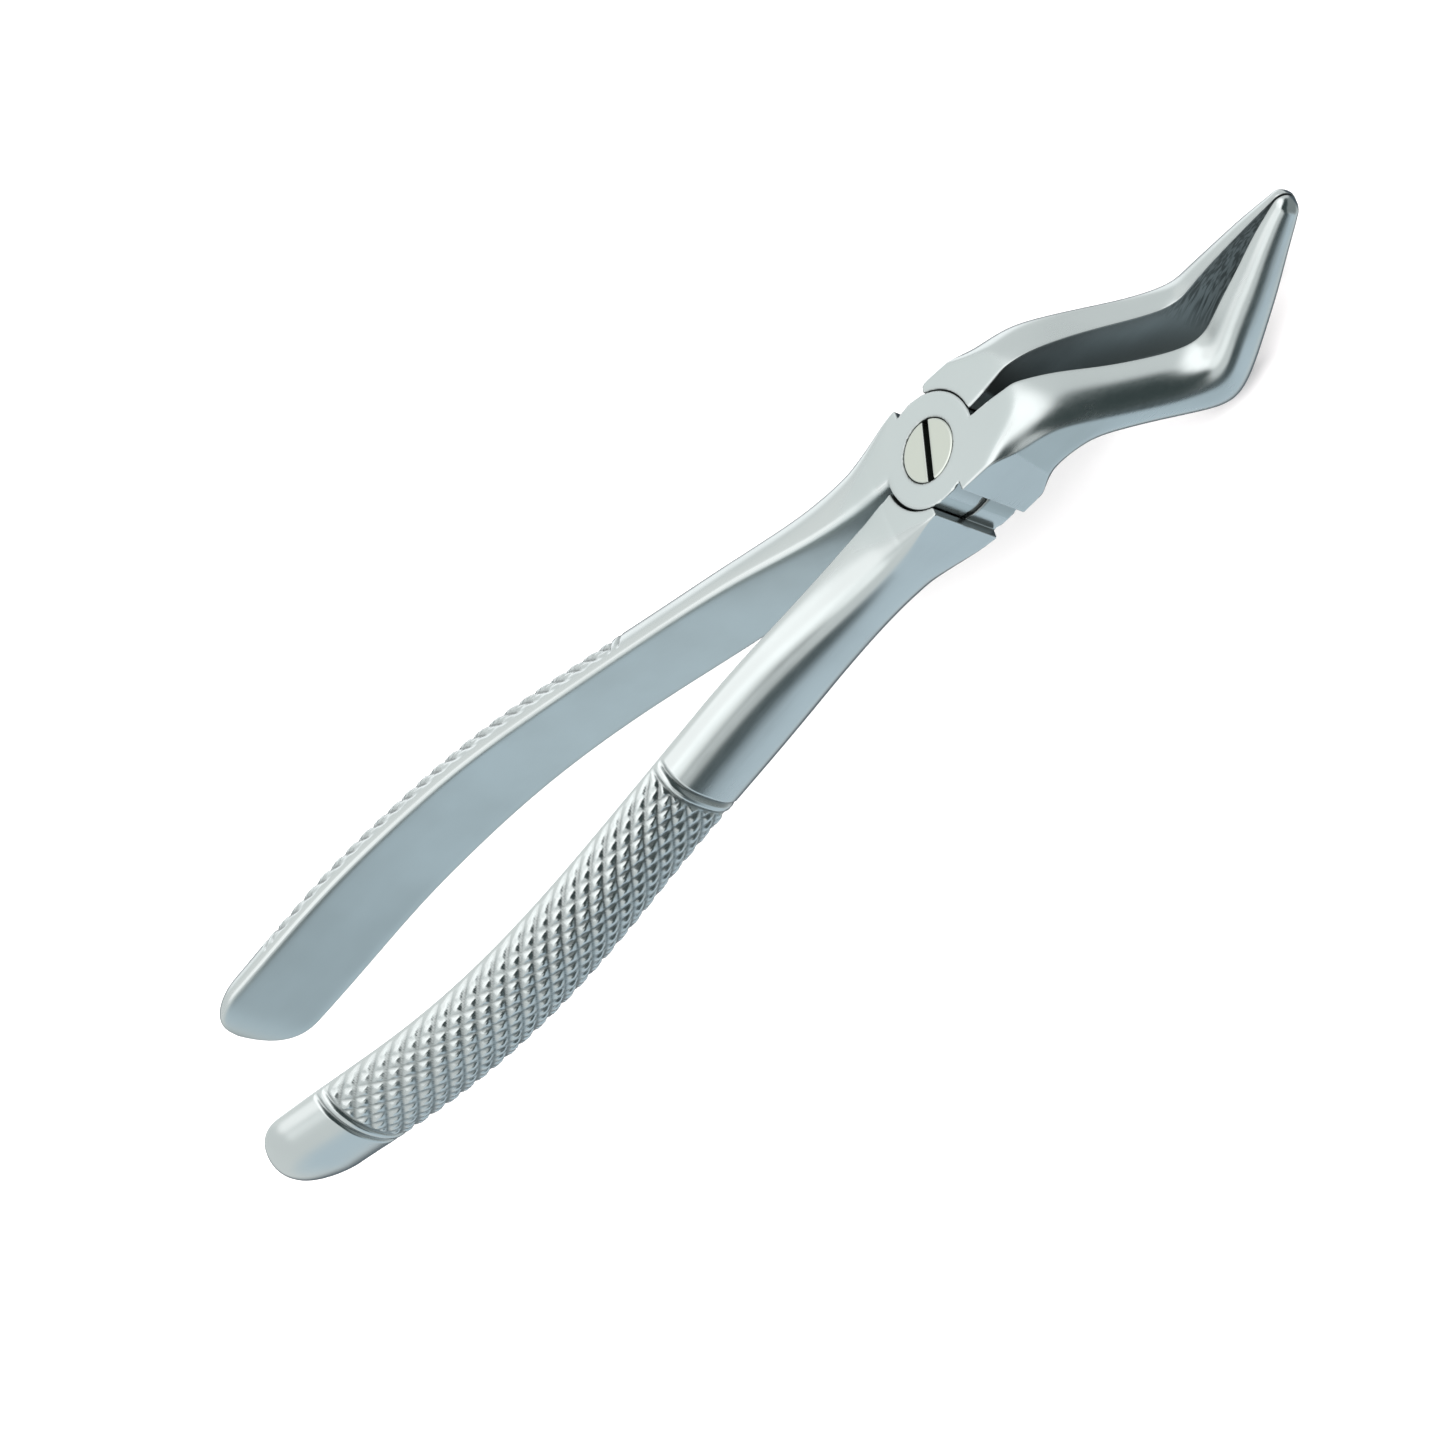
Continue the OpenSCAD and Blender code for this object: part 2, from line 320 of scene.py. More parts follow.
def joint_parts(u, y, z, layer):
    """Distances to a half's joint, with its handle on +Y: its outside, and the three cuts in it."""
    x = joint_x(u, z)
    handle = handle_section(np.maximum(-x, 0))
    handle["x"] = x
    back = soft_max([handle_body(handle, y, z - handle["z"]), x + SHOULDER_X])
    arm = arm_section(np.interp(u, LEAN_U, LEAN_S))
    s = (z - arm["z"]) / arm["ez"]
    corner = soft_max([SHOULDER_X - x, -y - BLOCK_W], REAR_CORNER if layer == "rear" else EDGE)
    front = soft_max([*section_distance(arm, -y, s), corner])
    r = np.hypot(x, y)
    boss = soft_max([r - BOSS_R, MID_Z - z if layer == "front" else z - MID_Z])
    joined = soft_min([back, front, boss], 0.1)
    outside = soft_max([joined, z - JOINT_T, rear_flat(x, z)], flat_edge(x))
    if layer == "front":
        seat = soft_max([r - BOSS_R - BOSS_CLEAR, z - MID_Z - FACE_CLEAR / 2])
        head = soft_max([r - HEAD_R - SCREW_CLEAR, JOINT_T - HEAD_H - SCREW_CLEAR - z])
        bore = soft_min([r - SHANK_R - SCREW_CLEAR, head])
    else:
        seat = soft_max([r - BOSS_R - BOSS_CLEAR, MID_Z - FACE_CLEAR / 2 - z])
        bore = r - THREAD_CLEAR - PEEN_R + (PEEN_R - SHANK_R) * np.clip(z / PEEN_H, 0, 1)
    seam = soft_max([BOSS_R - SEAM_DEPTH - r, np.abs(z - MID_Z) - SEAM_HALF, np.abs(x) - SHOULDER_X])
    return outside, -seat, -bore, -seam


def joint_distance(u, y, z, layer):
    return soft_max(joint_parts(u, y, z, layer))


def slope(points, distance, h=1e-3):
    """The direction and steepness in which a distance grows at each point."""
    steps = h * np.eye(3)
    return np.stack([(distance(*(points + e).T) - distance(*(points - e).T)) / (2 * h) for e in steps], 1)


def on_surface(points, distance, steps=6, limit=0.15):
    """Moves points onto the surface where distance is zero."""
    for _ in range(steps):
        way = slope(points, distance)
        step = distance(*points.T)[:, None] * way / np.maximum((way**2).sum(1, keepdims=True), 0.05)
        points = points - np.clip(step, -limit, limit)
    return points


def net(distance, us, ys, zs):
    """Closed net of quads where distance is zero, left open at the first and last u."""
    field = distance(*np.meshgrid(us, ys, zs, indexing="ij"))
    inside = field < 0
    shape = np.array(field.shape) - 1
    total, hits = np.zeros((*shape, 3)), np.zeros(tuple(shape))
    corners = [np.array(c) for c in np.ndindex(2, 2, 2)]

    def take(grid, c):
        return grid[tuple(slice(o, o + n) for o, n in zip(c, shape))]

    for axis in range(3):
        for c in corners:
            if c[axis]:
                continue
            e = c + np.eye(3, dtype=int)[axis]
            a, b = take(field, c), take(field, e)
            cross = (a < 0) != (b < 0)
            t = np.where(cross, a / np.where(cross, a - b, 1), 0)
            for k in range(3):
                total[..., k] += np.where(cross, c[k] + (t if k == axis else 0), 0)
            hits += cross
    used = hits > 0
    index = np.full(used.shape, -1)
    index[used] = np.arange(used.sum())
    cell = np.argwhere(used) + total[used] / hits[used][:, None]
    points = np.stack([np.interp(cell[:, k], np.arange(len(g)), g) for k, g in enumerate((us, ys, zs))], 1)
    quads = []
    for axis in range(3):
        b, c = [(1, 2), (2, 0), (0, 1)][axis]
        low = [slice(None)] * 3
        high = [slice(None)] * 3
        low[axis], high[axis] = slice(0, -1), slice(1, None)
        change = inside[tuple(low)] != inside[tuple(high)]
        at = np.argwhere(change)
        out = inside[tuple(low)][change]
        keep = (at[:, b] > 0) & (at[:, c] > 0) & (at[:, b] < shape[b]) & (at[:, c] < shape[c])
        at, out = at[keep], out[keep]
        back = np.eye(3, dtype=int)
        around = [i * back[b] + j * back[c] for i, j in ((0, 0), (1, 0), (1, 1), (0, 1))]
        four = np.stack([index[tuple((at - offset).T)] for offset in around], 1)
        quads.append(np.where(out[:, None], four, four[:, ::-1]))
    return points, np.concatenate(quads)


def open_loops(quads):
    """The open edges of a net of quads, as ordered loops of points."""
    edges = np.concatenate([quads[:, [i, (i + 1) % 4]] for i in range(4)])
    ahead = {tuple(e) for e in edges.tolist()}
    follow = {a: b for a, b in ahead if (b, a) not in ahead}
    loops = []
    while follow:
        start, at = next(iter(follow.items()))
        loop = [start]
        follow.pop(start)
        while at != start:
            loop.append(at)
            at = follow.pop(at)
        loops.append(loop)
    return loops


# ---------------------------------------------------------------- swept sections
def section_rings(sec, distance, count, turn_weight=1.1):
    """Points round each section, as y and s in its plane. They gather at sharp turns."""
    cols = {k: v[:, None] for k, v in sec.items()}
    cy = cols["y"] + np.maximum(0.45 * cols["thick"], cols["hollow"] * 0.5 + 0.3 * cols["thick"])
    angle = np.linspace(0, 2 * math.pi, 1441)[None, :-1] - math.pi
    uy, us = np.cos(angle), np.sin(angle)
    low = np.zeros((len(sec["x"]), angle.shape[1]))
    high = low + 25.0
    for _ in range(32):
        middle = (low + high) / 2
        inside = distance(cols, cy + middle * uy, middle * us) < 0
        low, high = np.where(inside, middle, low), np.where(inside, high, middle)
    y, s = cy + low * uy, low * us
    dy, ds = np.roll(y, -1, 1) - y, np.roll(s, -1, 1) - s
    heading = np.unwrap(np.arctan2(ds, dy), axis=1)
    turning = np.abs(np.diff(np.concatenate([heading[:, -1:] - 2 * math.pi, heading], 1), axis=1))
    sharpness = np.minimum(turning, 0.5) * np.minimum(1, sec["half"][:, None] / 4)
    weight = np.hypot(dy, ds) + turn_weight * sharpness
    run = np.concatenate([np.zeros((len(y), 1)), np.cumsum(weight, 1)], 1)
    ring_y, ring_s = np.empty((len(y), count)), np.empty((len(y), count))
    for i in range(len(y)):
        at = np.linspace(0, run[i, -1], count, endpoint=False)
        ring_y[i] = np.interp(at, run[i], np.append(y[i], y[i, 0]))
        ring_s[i] = np.interp(at, run[i], np.append(s[i], s[i, 0]))
    return cols, ring_y, ring_s


def rings_in_frame(cols, y, s, depth):
    """The rings in the frame's axes, cut in by a depth at each point."""
    dy, ds = (np.roll(v, -1, 1) - np.roll(v, 1, 1) for v in (y, s))
    size = np.hypot(dy, ds) + 1e-12
    y, s = y - depth * ds / size, s + depth * dy / size
    x, z = in_frame(cols, s)
    return np.stack([x, y, z], -1)


def zipper(loop, ring, points):
    """Triangles between two closed rows of points that run the same way round."""
    middle = points[ring].mean(0)
    axis = np.cross(points[ring[0]] - middle, points[ring[len(ring) // 4]] - middle)
    axis /= np.linalg.norm(axis)
    side = np.cross(axis, [0, 0, 1.0])
    side /= np.linalg.norm(side)
    up = np.cross(axis, side)

    def turn(ids):
        p = points[ids] - middle
        return np.arctan2(p @ up, p @ side)

    a, b = turn(loop), turn(ring)
    start = int(np.argmin(np.abs(np.angle(np.exp(1j * (a - b[0]))))))
    loop = list(loop[start:]) + list(loop[:start])
    a = np.unwrap(turn(loop))
    b = np.unwrap(b)
    a += round((b[0] - a[0]) / (2 * math.pi)) * 2 * math.pi
    a = np.append(a, a[0] + 2 * math.pi * np.sign(b[-1] - b[0]))
    b = np.append(b, b[0] + 2 * math.pi * np.sign(b[-1] - b[0]))
    way = np.sign(b[-1] - b[0])
    i = j = 0
    faces = []
    while i < len(loop) or j < len(ring):
        step_loop = j == len(ring) or (i < len(loop) and way * a[i + 1] < way * b[j + 1])
        p, q = loop[i % len(loop)], ring[j % len(ring)]
        if step_loop:
            faces.append((p, loop[(i + 1) % len(loop)], q))
            i += 1
        else:
            faces.append((p, ring[(j + 1) % len(ring)], q))
            j += 1
    return faces


class Half:
    """Points and faces of one half, with its handle on +Y, and three values at each point:
    how far it lies on a ground face, how deep in a recess or on a shoulder face, which sets its painted
    shade, and for the joint its normal."""

    def __init__(self, layer):
        us = np.arange(-JOINT_BACK, JOINT_FRONT + CELL / 2, CELL)
        ys = np.arange(-BLOCK_W - 0.5, BLOCK_W + 0.6, CELL) + 0.03
        zs = np.arange(-0.5, JOINT_T + 0.6, CELL) + 0.05

        def field(u, y, z):
            return joint_distance(u, y, z, layer)

        grid, quads = net(field, us, ys, zs)
        grid = on_surface(grid, field)
        u, y, z = grid.T
        x = joint_x(u, z)
        self.points = np.stack([x, y, z], 1)
        self.faces = [tuple(q) for q in quads.tolist()]
        self.loops = open_loops(quads)
        way = slope(grid, field)
        stretch = 1 + (lean(u + 0.01) - lean(u - 0.01)) / 0.02 * (z - MID_Z)
        way[:, 0] /= stretch
        way[:, 2] -= way[:, 0] * lean(u)
        self.normals = way / np.linalg.norm(way, axis=1, keepdims=True)
        inward = self.normals[:, 1] * np.where(x < 0, -1, 1)
        self.ground = np.clip((np.maximum(np.abs(self.normals[:, 2]), inward) - 0.96) / 0.03, 0, 1)
        # Painted shade goes in the seat, the bore and the seam between the parts, and more faintly on the
        # shoulder faces.
        shoulder = np.clip((np.abs(self.normals[:, 0]) - 0.8) / 0.1, 0, 1) * (np.abs(x) < 3)
        self.recess = np.maximum(share_of(joint_parts(u, y, z, layer), [1, 2, 3]), 0.6 * shoulder)

    def sweep(self, rings, ground, recess, towards):
        """Joins rings to the joint's open loop nearest to x = towards, and closes the far end."""
        loop = min(self.loops, key=lambda ids: abs(self.points[ids][:, 0].mean() - towards))
        first = len(self.points)
        count, around = rings.shape[:2]
        self.points = np.concatenate([self.points, rings.reshape(-1, 3), rings[-1].mean(0)[None]])
        self.ground = np.concatenate([self.ground, ground.ravel(), [0]])
        self.recess = np.concatenate([self.recess, recess.ravel(), [0]])
        ids = first + np.arange(count * around).reshape(count, around)
        self.faces += zipper(loop, ids[0].tolist(), self.points)
        nxt = np.roll(ids, -1, 1)
        self.faces += np.stack([ids[:-1], nxt[:-1], nxt[1:], ids[1:]], -1).reshape(-1, 4).tolist()
        tip = len(self.points) - 1
        self.faces += [(int(a), int(b), tip) for a, b in zip(ids[-1], nxt[-1])]


def edge_sharpness(mesh, normals):
    """How sharply the surface bends outward at each point, per mm. It is negative in a hollow."""
    count = len(mesh.vertices)
    points = np.empty(count * 3)
    mesh.vertices.foreach_get("co", points)
    points = points.reshape(-1, 3) / MM
    ends = np.empty(len(mesh.edges) * 2, dtype=int)
    mesh.edges.foreach_get("vertices", ends)
    a, b = ends.reshape(-1, 2).T
    gap = points[a] - points[b]
    bend = ((normals[a] - normals[b]) * gap).sum(1) / np.maximum((gap**2).sum(1), 1e-6)
    total = np.bincount(a, bend, count) + np.bincount(b, bend, count)
    return total / np.maximum(np.bincount(a, minlength=count) + np.bincount(b, minlength=count), 1)


def add_mesh(name, points, faces, ground, recess, known_normals):
    """A smooth closed mesh with its finish stored at each point: ground faces, painted shade, and edges
    painted lighter as wear and as a painted highlight.
    """
    mesh = bpy.data.meshes.new(name)
    mesh.from_pydata((points * MM).tolist(), [], [list(f) for f in faces])
    mesh.validate()
    piece = bpy.data.objects.new(name, mesh)
    bpy.context.scene.collection.objects.link(piece)
    work = bmesh.new()
    work.from_mesh(mesh)
    bmesh.ops.recalc_face_normals(work, faces=work.faces)
    work.to_mesh(mesh)
    work.free()
    mesh.polygons.foreach_set("use_smooth", [True] * len(mesh.polygons))
    normals = np.empty(len(mesh.vertices) * 3)
    mesh.vertex_normals.foreach_get("vector", normals)
    normals = normals.reshape(-1, 3)
    normals[:len(known_normals)] = known_normals
    mesh.normals_split_custom_set_from_vertices(normals.tolist())
    bend = edge_sharpness(mesh, normals)
    # recess marks painted shade, edge the convex edges painted lighter, partly as wear and partly as a
    # painted highlight.
    values = {"ground": ground, "recess": recess, "edge": np.clip(bend / 3, 0, 1)}
    for label, value in values.items():
        mesh.attributes.new(label, "FLOAT", "POINT").data.foreach_set("value", value.astype(np.float32))
    return piece


def arm_rings():
    """Rings of the neck and beak, with how far each point is ground, and how much painted shade and dullness
    it gets on the beak's inner face.
    """
    first = float(np.interp(JOINT_FRONT + 0.3, LEAN_U, LEAN_S))
    body = np.linspace(first, TIP_ROW, ARM_SECTIONS)
    station = np.concatenate([body, TIP_ROW + np.sin(np.linspace(0, math.radians(86), 12)[1:])])
    cols, y, s = section_rings(arm_section(station), arm_distance, ARM_RING)
    x, z = in_frame(cols, s)
    parts = [*section_distance(cols, y, s), *arm_flats(x, y, z)]
    inner = share_of(parts, [1])
    # The inner face gets painted shade, strongest towards the neck, and is rougher.
    shade_and_dull = (0.95 - 0.23 * np.clip((station - 1) / 8, 0, 1))[:, None] * inner
    return rings_in_frame(cols, y, s, 0.0) * [1, -1, 1], share_of(parts, [1, 2, 3, 4]), shade_and_dull


def handle_stations():
    """Distances of the handle's rings from the pivot axis, closest in the grooves and at the end."""
    end_from = HANDLE_END - END_LEN
    return np.concatenate([
        np.arange(JOINT_BACK + 0.3, GROOVES[0] - 0.9, 0.7),
        np.arange(GROOVES[0] - 0.8, GRIP_FROM - 0.1, GROOVE_RING_GAP),
        np.arange(GRIP_FROM, GRIP_TO + 0.05, RING_GAP),
        np.arange(GRIP_TO + 0.2, GROOVES[3] + 0.9, GROOVE_RING_GAP),
        np.arange(GROOVES[3] + 1.2, end_from - 0.2, 0.5),
        end_from + END_LEN * np.sin(np.linspace(0, math.radians(87), 26)),
    ])


def saw(v):
    """1 at whole numbers, 0 half way between them."""
    return 2 * np.abs(v - np.floor(v) - 0.5)


def handle_rings(grip_edge):
    """The handle's rings, with the diamonds of the grip and the double grooves at its two ends cut in."""
    d = handle_stations()
    cols, y, s = section_rings(handle_section(d), handle_distance, HANDLE_RING)
    step = np.arange(HANDLE_RING) - HANDLE_RING / 2
    first = np.clip(1.5 * saw(d[:, None] / FIRST_CUTS[0] + step / FIRST_CUTS[1]) - 0.5, 0, 1)
    second = np.clip(1.5 * saw(d[:, None] / SECOND_CUTS[0] - step / SECOND_CUTS[1]) - 0.5, 0, 1)
    edge = np.abs(step) / (HANDLE_RING / 2)
    diamond = np.maximum(first, CROSS_SHARE * np.clip((grip_edge - edge) / 0.2, 0.3, 1) * second)
    on_grip = (d > GROOVES[1] + GROOVE_HALF / 2) & (d < GROOVES[2] - GROOVE_HALF / 2)
    depth = GRIP_DEPTH * diamond * on_grip[:, None]
    for groove in GROOVES:
        cut = GROOVE_DEPTH * np.clip(1 - np.abs(d - groove) / GROOVE_HALF, 0, 1)
        depth = np.maximum(depth, cut[:, None])
    # the cuts run out towards the inner face
    depth = depth * np.clip((grip_edge - edge) / 0.08, 0, 1)[None, :]
    x, z = in_frame(cols, s)
    ground = share_of([*section_distance(cols, y, s), *handle_flats(x, y, z)], [1, 2, 3])
    # The third value is painted shade in the grip's cuts and the grooves.
    return rings_in_frame(cols, y, s, depth), ground, 0.8 * (depth / GRIP_DEPTH) ** 3


def make_half(name, layer, mirrored):
    half = Half(layer)
    half.sweep(*arm_rings(), JOINT_FRONT)
    half.sweep(*handle_rings(GRIP_EDGES[layer]), -JOINT_BACK)
    turn = [1, -1, 1] if mirrored else [1, 1, 1]
    return add_mesh(name, half.points * turn, half.faces, half.ground, half.recess, half.normals * turn)


# ---------------------------------------------------------------- the screw
def screw_parts(x, y, z):
    """Distances to the screw without its slot, and to the slot cut from it."""
    r = np.hypot(x, y)
    chamfer = r + z - HEAD_R - JOINT_T + HEAD_CHAMFER
    head = soft_max([r - HEAD_R, z - JOINT_T, JOINT_T - HEAD_H - z, chamfer])
    threaded = np.clip((MID_Z - 0.3 - z) / 0.2, 0, 1) * np.clip((z - PEEN_H) / 0.2, 0, 1)
    thread = THREAD_DEPTH * (1 - saw((z - PEEN_H) / THREAD_PITCH)) * threaded
    shank = soft_max([r - SHANK_R + thread, z - JOINT_T + 0.5, -z])
    peen = soft_max([r - PEEN_R + (PEEN_R - SHANK_R) * z / PEEN_H, z - PEEN_H, -z], 0.03)
    turn = math.radians(SLOT_TURN)
    across = x * math.cos(turn) + y * math.sin(turn)
    slot = soft_max([np.abs(across) - SLOT_W / 2, JOINT_T - SLOT_H - z])
    return soft_min([head, shank, peen], 0.04), -slot


def screw_distance(x, y, z):
    return soft_max(screw_parts(x, y, z))


def make_screw(name):
    side = np.arange(-HEAD_R - 0.3, HEAD_R + 0.4, SCREW_CELL)
    grid, quads = net(screw_distance, side, side + 0.01, np.arange(-0.3, JOINT_T + 0.4, SCREW_CELL))
    grid = on_surface(grid, screw_distance)
    way = slope(grid, screw_distance)
    normals = way / np.linalg.norm(way, axis=1, keepdims=True)
    ground = np.clip((np.abs(normals[:, 2]) - 0.9) / 0.05, 0, 1)
    # The slot gets painted shade.
    return add_mesh(name, grid, quads.tolist(), ground, share_of(screw_parts(*grid.T), [1]), normals)


front = make_half("front_half_body", "front", False)
rear = make_half("rear_half_body", "rear", True)
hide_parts("front_half")
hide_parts("rear_half")
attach(front, "front_half")
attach(rear, "rear_half")

screw = make_screw("screw_body")
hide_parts("pivot_screw")
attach(screw, "rear_half")

# ---------------------------------------------------------------- materials
STEEL = (0.64, 0.665, 0.67)
GROUND_STEEL = (0.615, 0.655, 0.66)
SCREW_STEEL = (0.66, 0.68, 0.62)
# Edges painted lighter, partly as wear and partly as a painted highlight.
WORN_AND_HIGHLIT_EDGE = (0.78, 0.79, 0.79)
# Dark colour for painted shade in recesses, and for smudges and the beak's filing marks.
SHADE_AND_GRIME = (0.031, 0.040, 0.037)
POLISHED_ROUGH = 0.23
GROUND_ROUGH = 0.36


class Nodes:
    """Short ways to add and join the nodes of one material."""

    def __init__(self, name):
        self.material = bpy.data.materials.new(name)
        self.material.use_nodes = True
        self.tree = self.material.node_tree
        self.shader = self.tree.nodes["Principled BSDF"]

    def join(self, source, socket):
        if isinstance(source, bpy.types.NodeSocket):
            self.tree.links.new(source, socket)
        else:
            socket.default_value = source

    def stored(self, label):
        """A value stored at the mesh's points."""
        node = self.tree.nodes.new("ShaderNodeAttribute")
        node.attribute_name = label
        return node.outputs["Fac"]

    def math(self, kind, a, b, c=0.0):
        node = self.tree.nodes.new("ShaderNodeMath")
        node.operation = kind
        for source, socket in zip((a, b, c), node.inputs):
            self.join(source, socket)
        return node.outputs[0]

    def noise(self, where, scale, detail=2.0):
        node = self.tree.nodes.new("ShaderNodeTexNoise")
        node.inputs["Scale"].default_value = scale
        node.inputs["Detail"].default_value = detail
        self.join(where, node.inputs["Vector"])
        return node.outputs["Fac"]

    def stretched(self, where, turn, size):
        """The coordinates in a turned frame and scaled, so that a noise on them runs in streaks."""
        node = self.tree.nodes.new("ShaderNodeMapping")
        node.vector_type = "TEXTURE"
        node.inputs["Rotation"].default_value = [math.radians(angle) for angle in turn]
        node.inputs["Scale"].default_value = [1 / number for number in size]
        self.join(where, node.inputs["Vector"])
        return node.outputs["Vector"]

    def radius(self, where):
        """The distance from the Z axis."""
        flat = self.tree.nodes.new("ShaderNodeVectorMath")
        flat.operation = "MULTIPLY"
        flat.inputs[1].default_value = (1, 1, 0)
        self.join(where, flat.inputs[0])
        length = self.tree.nodes.new("ShaderNodeVectorMath")
        length.operation = "LENGTH"
        self.join(flat.outputs["Vector"], length.inputs[0])
        return length.outputs["Value"]

    def spread(self, value, low, high, to_low, to_high):
        node = self.tree.nodes.new("ShaderNodeMapRange")
        self.join(value, node.inputs["Value"])
        for label, number in zip(("From Min", "From Max", "To Min", "To Max"), (low, high, to_low, to_high)):
            node.inputs[label].default_value = number
        return node.outputs["Result"]

    def mix(self, share, a, b):
        node = self.tree.nodes.new("ShaderNodeMix")
        node.data_type = "RGBA"
        self.join(share, node.inputs["Factor"])
        for source, label in ((a, "A"), (b, "B")):
            self.join((*source, 1) if isinstance(source, tuple) else source, node.inputs[label])
        return node.outputs["Result"]

    def bump(self, height, strength, distance, normal=None):
        node = self.tree.nodes.new("ShaderNodeBump")
        self.join(height, node.inputs["Height"])
        self.join(strength, node.inputs["Strength"])
        node.inputs["Distance"].default_value = distance
        if normal is not None:
            self.join(normal, node.inputs["Normal"])
        return node.outputs["Normal"]


def steel(name, colour, ground_colour, round_screw=False):
    """Stainless steel: polished and faintly streaked, with ground faces, smudges and filing marks, edges
    painted lighter as wear and as a painted highlight, and painted shade in recesses, which are also rougher.
    """
    make = Nodes(name)
    shader = make.shader
    ground, recess, edge = (make.stored(label) for label in ("ground", "recess", "edge"))
    where = make.tree.nodes.new("ShaderNodeTexCoord").outputs["Object"]
    if round_screw:
        # rings round the axis, as a lathe leaves them
        streaks = make.noise(make.radius(where), 5200, 3.0)
    else:
        streaks = make.noise(make.stretched(where, (0, 0, 3), (30, 2600, 2600)), 1.0, 4.0)
    smudges = make.noise(where, 85, 3.0)
    grain = make.noise(where, 5200, 2.0)
    scratches = make.noise(make.stretched(where, (0, 0, -24), (160, 9000, 3000)), 1.0, 1.0)
    scratched = make.spread(scratches, 0.70, 0.76, 0, 1)

    base = make.mix(ground, colour, ground_colour)
    # Smudges at random, and painted shade in recesses, gaps, cuts, the slot, the shoulders and the beak's
    # inner faces.
    smudged_and_shaded = make.math("MULTIPLY_ADD", smudges, 0.10, make.math("MULTIPLY", recess, 0.85))
    base = make.mix(smudged_and_shaded, base, SHADE_AND_GRIME)
    # filing marks along the inner faces of the beaks
    beak_lines = make.noise(make.stretched(where, (0, -25, 0), (170, 3800, 3800)), 1.0, 1.0)
    axes = make.tree.nodes.new("ShaderNodeSeparateXYZ")
    make.join(where, axes.inputs["Vector"])
    on_beak = make.math("MULTIPLY", recess, make.spread(axes.outputs["X"], 0.027, 0.031, 0, 1))
    filed = make.math("MULTIPLY", on_beak, make.spread(beak_lines, 0.42, 0.6, 0, 1))
    base = make.mix(filed, base, SHADE_AND_GRIME)
    # Convex edges painted lighter: partly wear, partly a painted highlight.
    base = make.mix(make.math("MULTIPLY", edge, 0.35), base, WORN_AND_HIGHLIT_EDGE)
    make.join(base, shader.inputs["Base Color"])
    shader.inputs["Metallic"].default_value = 1.0

    rough = make.spread(ground, 0, 1, POLISHED_ROUGH, GROUND_ROUGH)
    uneven = (make.spread(smudges, 0.3, 0.7, -1, 1), 0.045), (make.spread(streaks, 0.3, 0.7, -1, 1), 0.02)
    for cause, amount in (*uneven, (recess, 0.22), (edge, -0.06), (scratched, 0.012)):
        rough = make.math("MULTIPLY_ADD", cause, amount, rough)
    make.join(rough, shader.inputs["Roughness"])

    normal = make.bump(grain, make.spread(ground, 0, 1, 0.02, 0.05), 0.00002)
    normal = make.bump(streaks, make.spread(ground, 0, 1, 0.012, 0.06), 0.00005, normal)
    make.join(normal, shader.inputs["Normal"])
    return make.material


front.data.materials.append(steel("front_steel", STEEL, GROUND_STEEL))
rear.data.materials.append(steel("rear_steel", STEEL, GROUND_STEEL))
screw.data.materials.append(steel("screw_steel", SCREW_STEEL, SCREW_STEEL, round_screw=True))

# ---------------------------------------------------------------- camera, floor and light
VIEW_TURN = math.radians(48.0)
VIEW_TILT = math.radians(20.5)
VIEW_ROLL = math.radians(36.2)
VIEW_DISTANCE = 1500.0
SENSOR = 36.0
LENS = 8.86505 * SENSOR
# The camera looks past the middle of the joint's front face, by this much to its own right and up
AIM_RIGHT = -24.0
AIM_UP = -31.9

# The frame's axes as they point in the view: to the right, up and back towards the camera
axis_z = np.array([
    -math.sin(VIEW_TURN) * math.cos(VIEW_TILT),
    math.sin(VIEW_TURN) * math.sin(VIEW_TILT),
    math.cos(VIEW_TURN)])
level = np.array([math.sin(VIEW_TILT), math.cos(VIEW_TILT), 0.0])
steep = np.array([
    math.cos(VIEW_TURN) * math.cos(VIEW_TILT),
    -math.cos(VIEW_TURN) * math.sin(VIEW_TILT),
    math.sin(VIEW_TURN)])
axis_x = math.cos(VIEW_ROLL) * level + math.sin(VIEW_ROLL) * steep
axis_y = np.cross(axis_z, axis_x)
# The view's own directions in the frame
right, up, back = (np.array([axis_x[i], axis_y[i], axis_z[i]]) for i in range(3))


def add_camera():
    data = bpy.data.cameras.new("camera")
    data.sensor_width = SENSOR
    data.sensor_fit = "HORIZONTAL"
    data.lens = LENS
    data.clip_start = 0.05
    data.clip_end = 20
    camera = bpy.data.objects.new("camera", data)
    bpy.context.scene.collection.objects.link(camera)
    joint_front = np.array([0, 0, JOINT_T])
    eye = joint_front + VIEW_DISTANCE * back
    target = joint_front + AIM_RIGHT * right + AIM_UP * up
    away = (eye - target) / np.linalg.norm(eye - target)
    side = np.cross(up, away)
    side /= np.linalg.norm(side)
    upward = np.cross(away, side)
    camera.matrix_world = Matrix([
        [side[0], upward[0], away[0], eye[0] * MM],
        [side[1], upward[1], away[1], eye[1] * MM],
        [side[2], upward[2], away[2], eye[2] * MM],
        [0, 0, 0, 1]])
    bpy.context.scene.camera = camera


add_camera()


def direction(lon, lat):
    """A direction from the object: so many degrees to the right and up from the way to the camera."""
    lon, lat = math.radians(lon), math.radians(lat)
    return math.sin(lon) * math.cos(lat) * right + math.sin(lat) * up + math.cos(lon) * math.cos(lat) * back


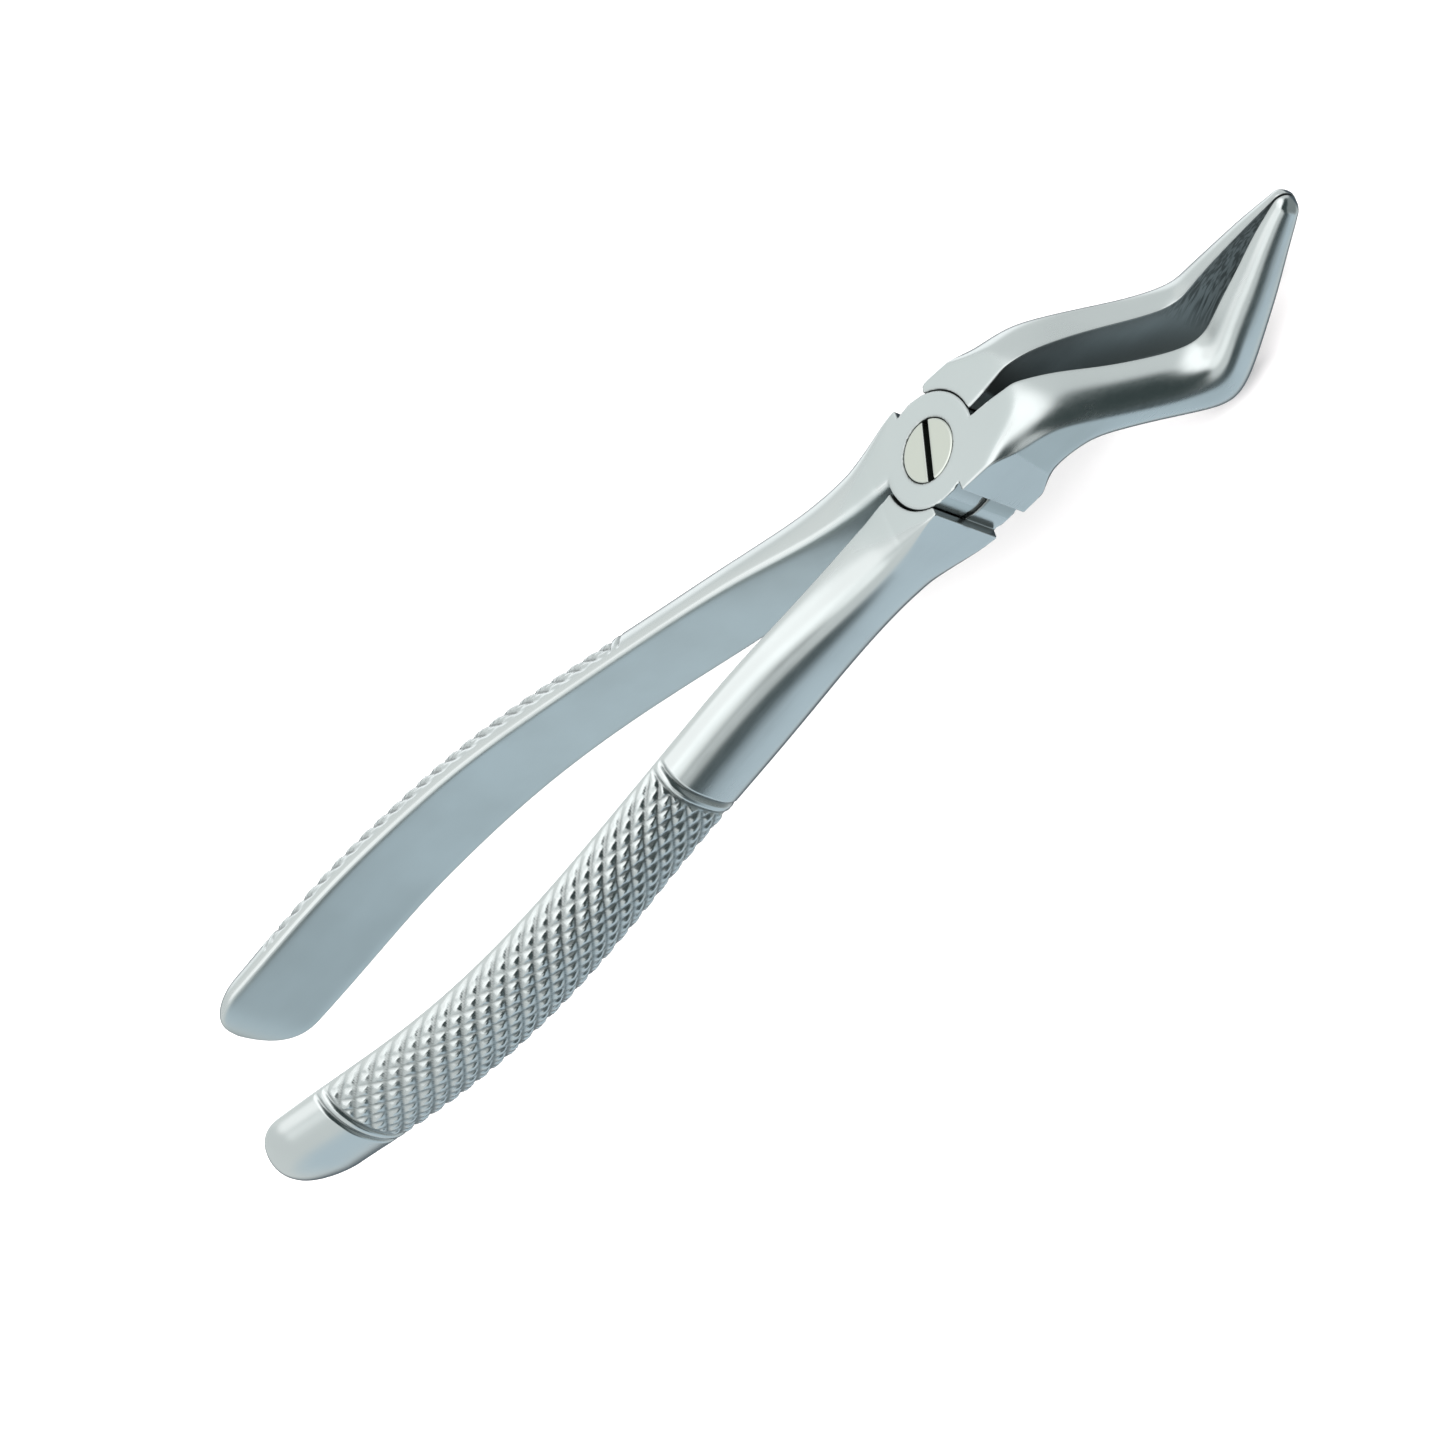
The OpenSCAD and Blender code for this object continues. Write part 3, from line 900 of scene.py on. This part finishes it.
# What the steel reflects: a pale room with a white softbox and dark gaps.
# Each is a round patch: degrees to the right and up of the camera, inner and outer radius, colour.
# A patch covers the ones before it.
ROOM = (0.83, 0.88, 0.87)
PATCHES = [
    (-44, 16, 22, 46, (1.62, 1.66, 1.64)),
    (-62, -4, 8, 27, (1.35, 1.38, 1.36)),
    (-36, -13, 6, 17, (1.6, 1.65, 1.63)),
    (-40, -33, 10, 22, (1.3, 1.35, 1.33)),
    (-150, 30, 10, 24, (1.3, 1.35, 1.35)),
    (-99, 20, 11, 26, (0.96, 1.0, 0.98)),
    (130, -28, 12, 28, (0.72, 0.80, 0.82)),
    (70, 0, 30, 60, (0.28, 0.32, 0.32)),
    (137, 33, 22, 42, (0.10, 0.13, 0.15)),
    (175, -5, 20, 42, (0.13, 0.16, 0.18)),
    (120, -62, 22, 40, (0.64, 0.77, 0.84)),
    (27, 28, 14, 30, (0.08, 0.105, 0.105)),
    (22, 0, 16, 36, (0.05, 0.07, 0.07)),
    (26, -31, 12, 25, (0.05, 0.07, 0.07)),
    (37, -42, 9, 20, (0.06, 0.08, 0.08)),
    (61, -60, 9, 22, (0.08, 0.105, 0.11)),
    (5, -17, 12, 23, (0.05, 0.07, 0.07)),
    (-4, -27, 7, 15, (0.05, 0.07, 0.07)),
]


def studio_world():
    world = bpy.data.worlds.new("studio")
    world.use_nodes = True
    nodes, links = world.node_tree.nodes, world.node_tree.links
    where = nodes.new("ShaderNodeTexCoord").outputs["Generated"]
    colour = None
    for lon, lat, inner, outer, shade in PATCHES:
        dot = nodes.new("ShaderNodeVectorMath")
        dot.operation = "DOT_PRODUCT"
        links.new(where, dot.inputs[0])
        dot.inputs[1].default_value = direction(lon, lat)
        share = nodes.new("ShaderNodeMapRange")
        share.interpolation_type = "SMOOTHSTEP"
        share.inputs["From Min"].default_value = math.cos(math.radians(outer))
        share.inputs["From Max"].default_value = math.cos(math.radians(inner))
        links.new(dot.outputs["Value"], share.inputs["Value"])
        mix = nodes.new("ShaderNodeMix")
        mix.data_type = "RGBA"
        if colour is None:
            mix.inputs["A"].default_value = (*ROOM, 1)
        else:
            links.new(colour, mix.inputs["A"])
        mix.inputs["B"].default_value = (*shade, 1)
        links.new(share.outputs["Result"], mix.inputs["Factor"])
        colour = mix.outputs["Result"]
    links.new(colour, nodes["Background"].inputs["Color"])
    nodes["Background"].inputs["Strength"].default_value = 1
    return world


FLOOR_Z = -14.0
FLOOR_REACH = 1500.0


def make_floor():
    mesh = bpy.data.meshes.new("floor")
    corners = [(-1, -1), (1, -1), (1, 1), (-1, 1)]
    points = [(x * FLOOR_REACH * MM, y * FLOOR_REACH * MM, FLOOR_Z * MM) for x, y in corners]
    mesh.from_pydata(points, [], [(0, 1, 2, 3)])
    piece = bpy.data.objects.new("floor", mesh)
    bpy.context.scene.collection.objects.link(piece)
    paper = bpy.data.materials.new("paper")
    paper.use_nodes = True
    shader = paper.node_tree.nodes["Principled BSDF"]
    shader.inputs["Base Color"].default_value = (0.94, 0.90, 0.905, 1)
    shader.inputs["Roughness"].default_value = 0.8
    mesh.materials.append(paper)
    return piece


def add_softbox():
    """A wide soft light for the floor, which the steel doesn't reflect."""
    data = bpy.data.lights.new("softbox", "AREA")
    data.shape = "SQUARE"
    data.size = 2.4
    data.energy = 58.0
    softbox = bpy.data.objects.new("softbox", data)
    softbox.location = (0.66, -0.9, 1.0)
    softbox.rotation_euler = (math.radians(36.9), math.radians(33.3), 0)
    softbox.visible_glossy = False
    bpy.context.scene.collection.objects.link(softbox)


bpy.context.scene.world = studio_world()
bpy.context.scene.view_settings.view_transform = "Standard"
floor = make_floor()
floor.visible_glossy = False
add_softbox()
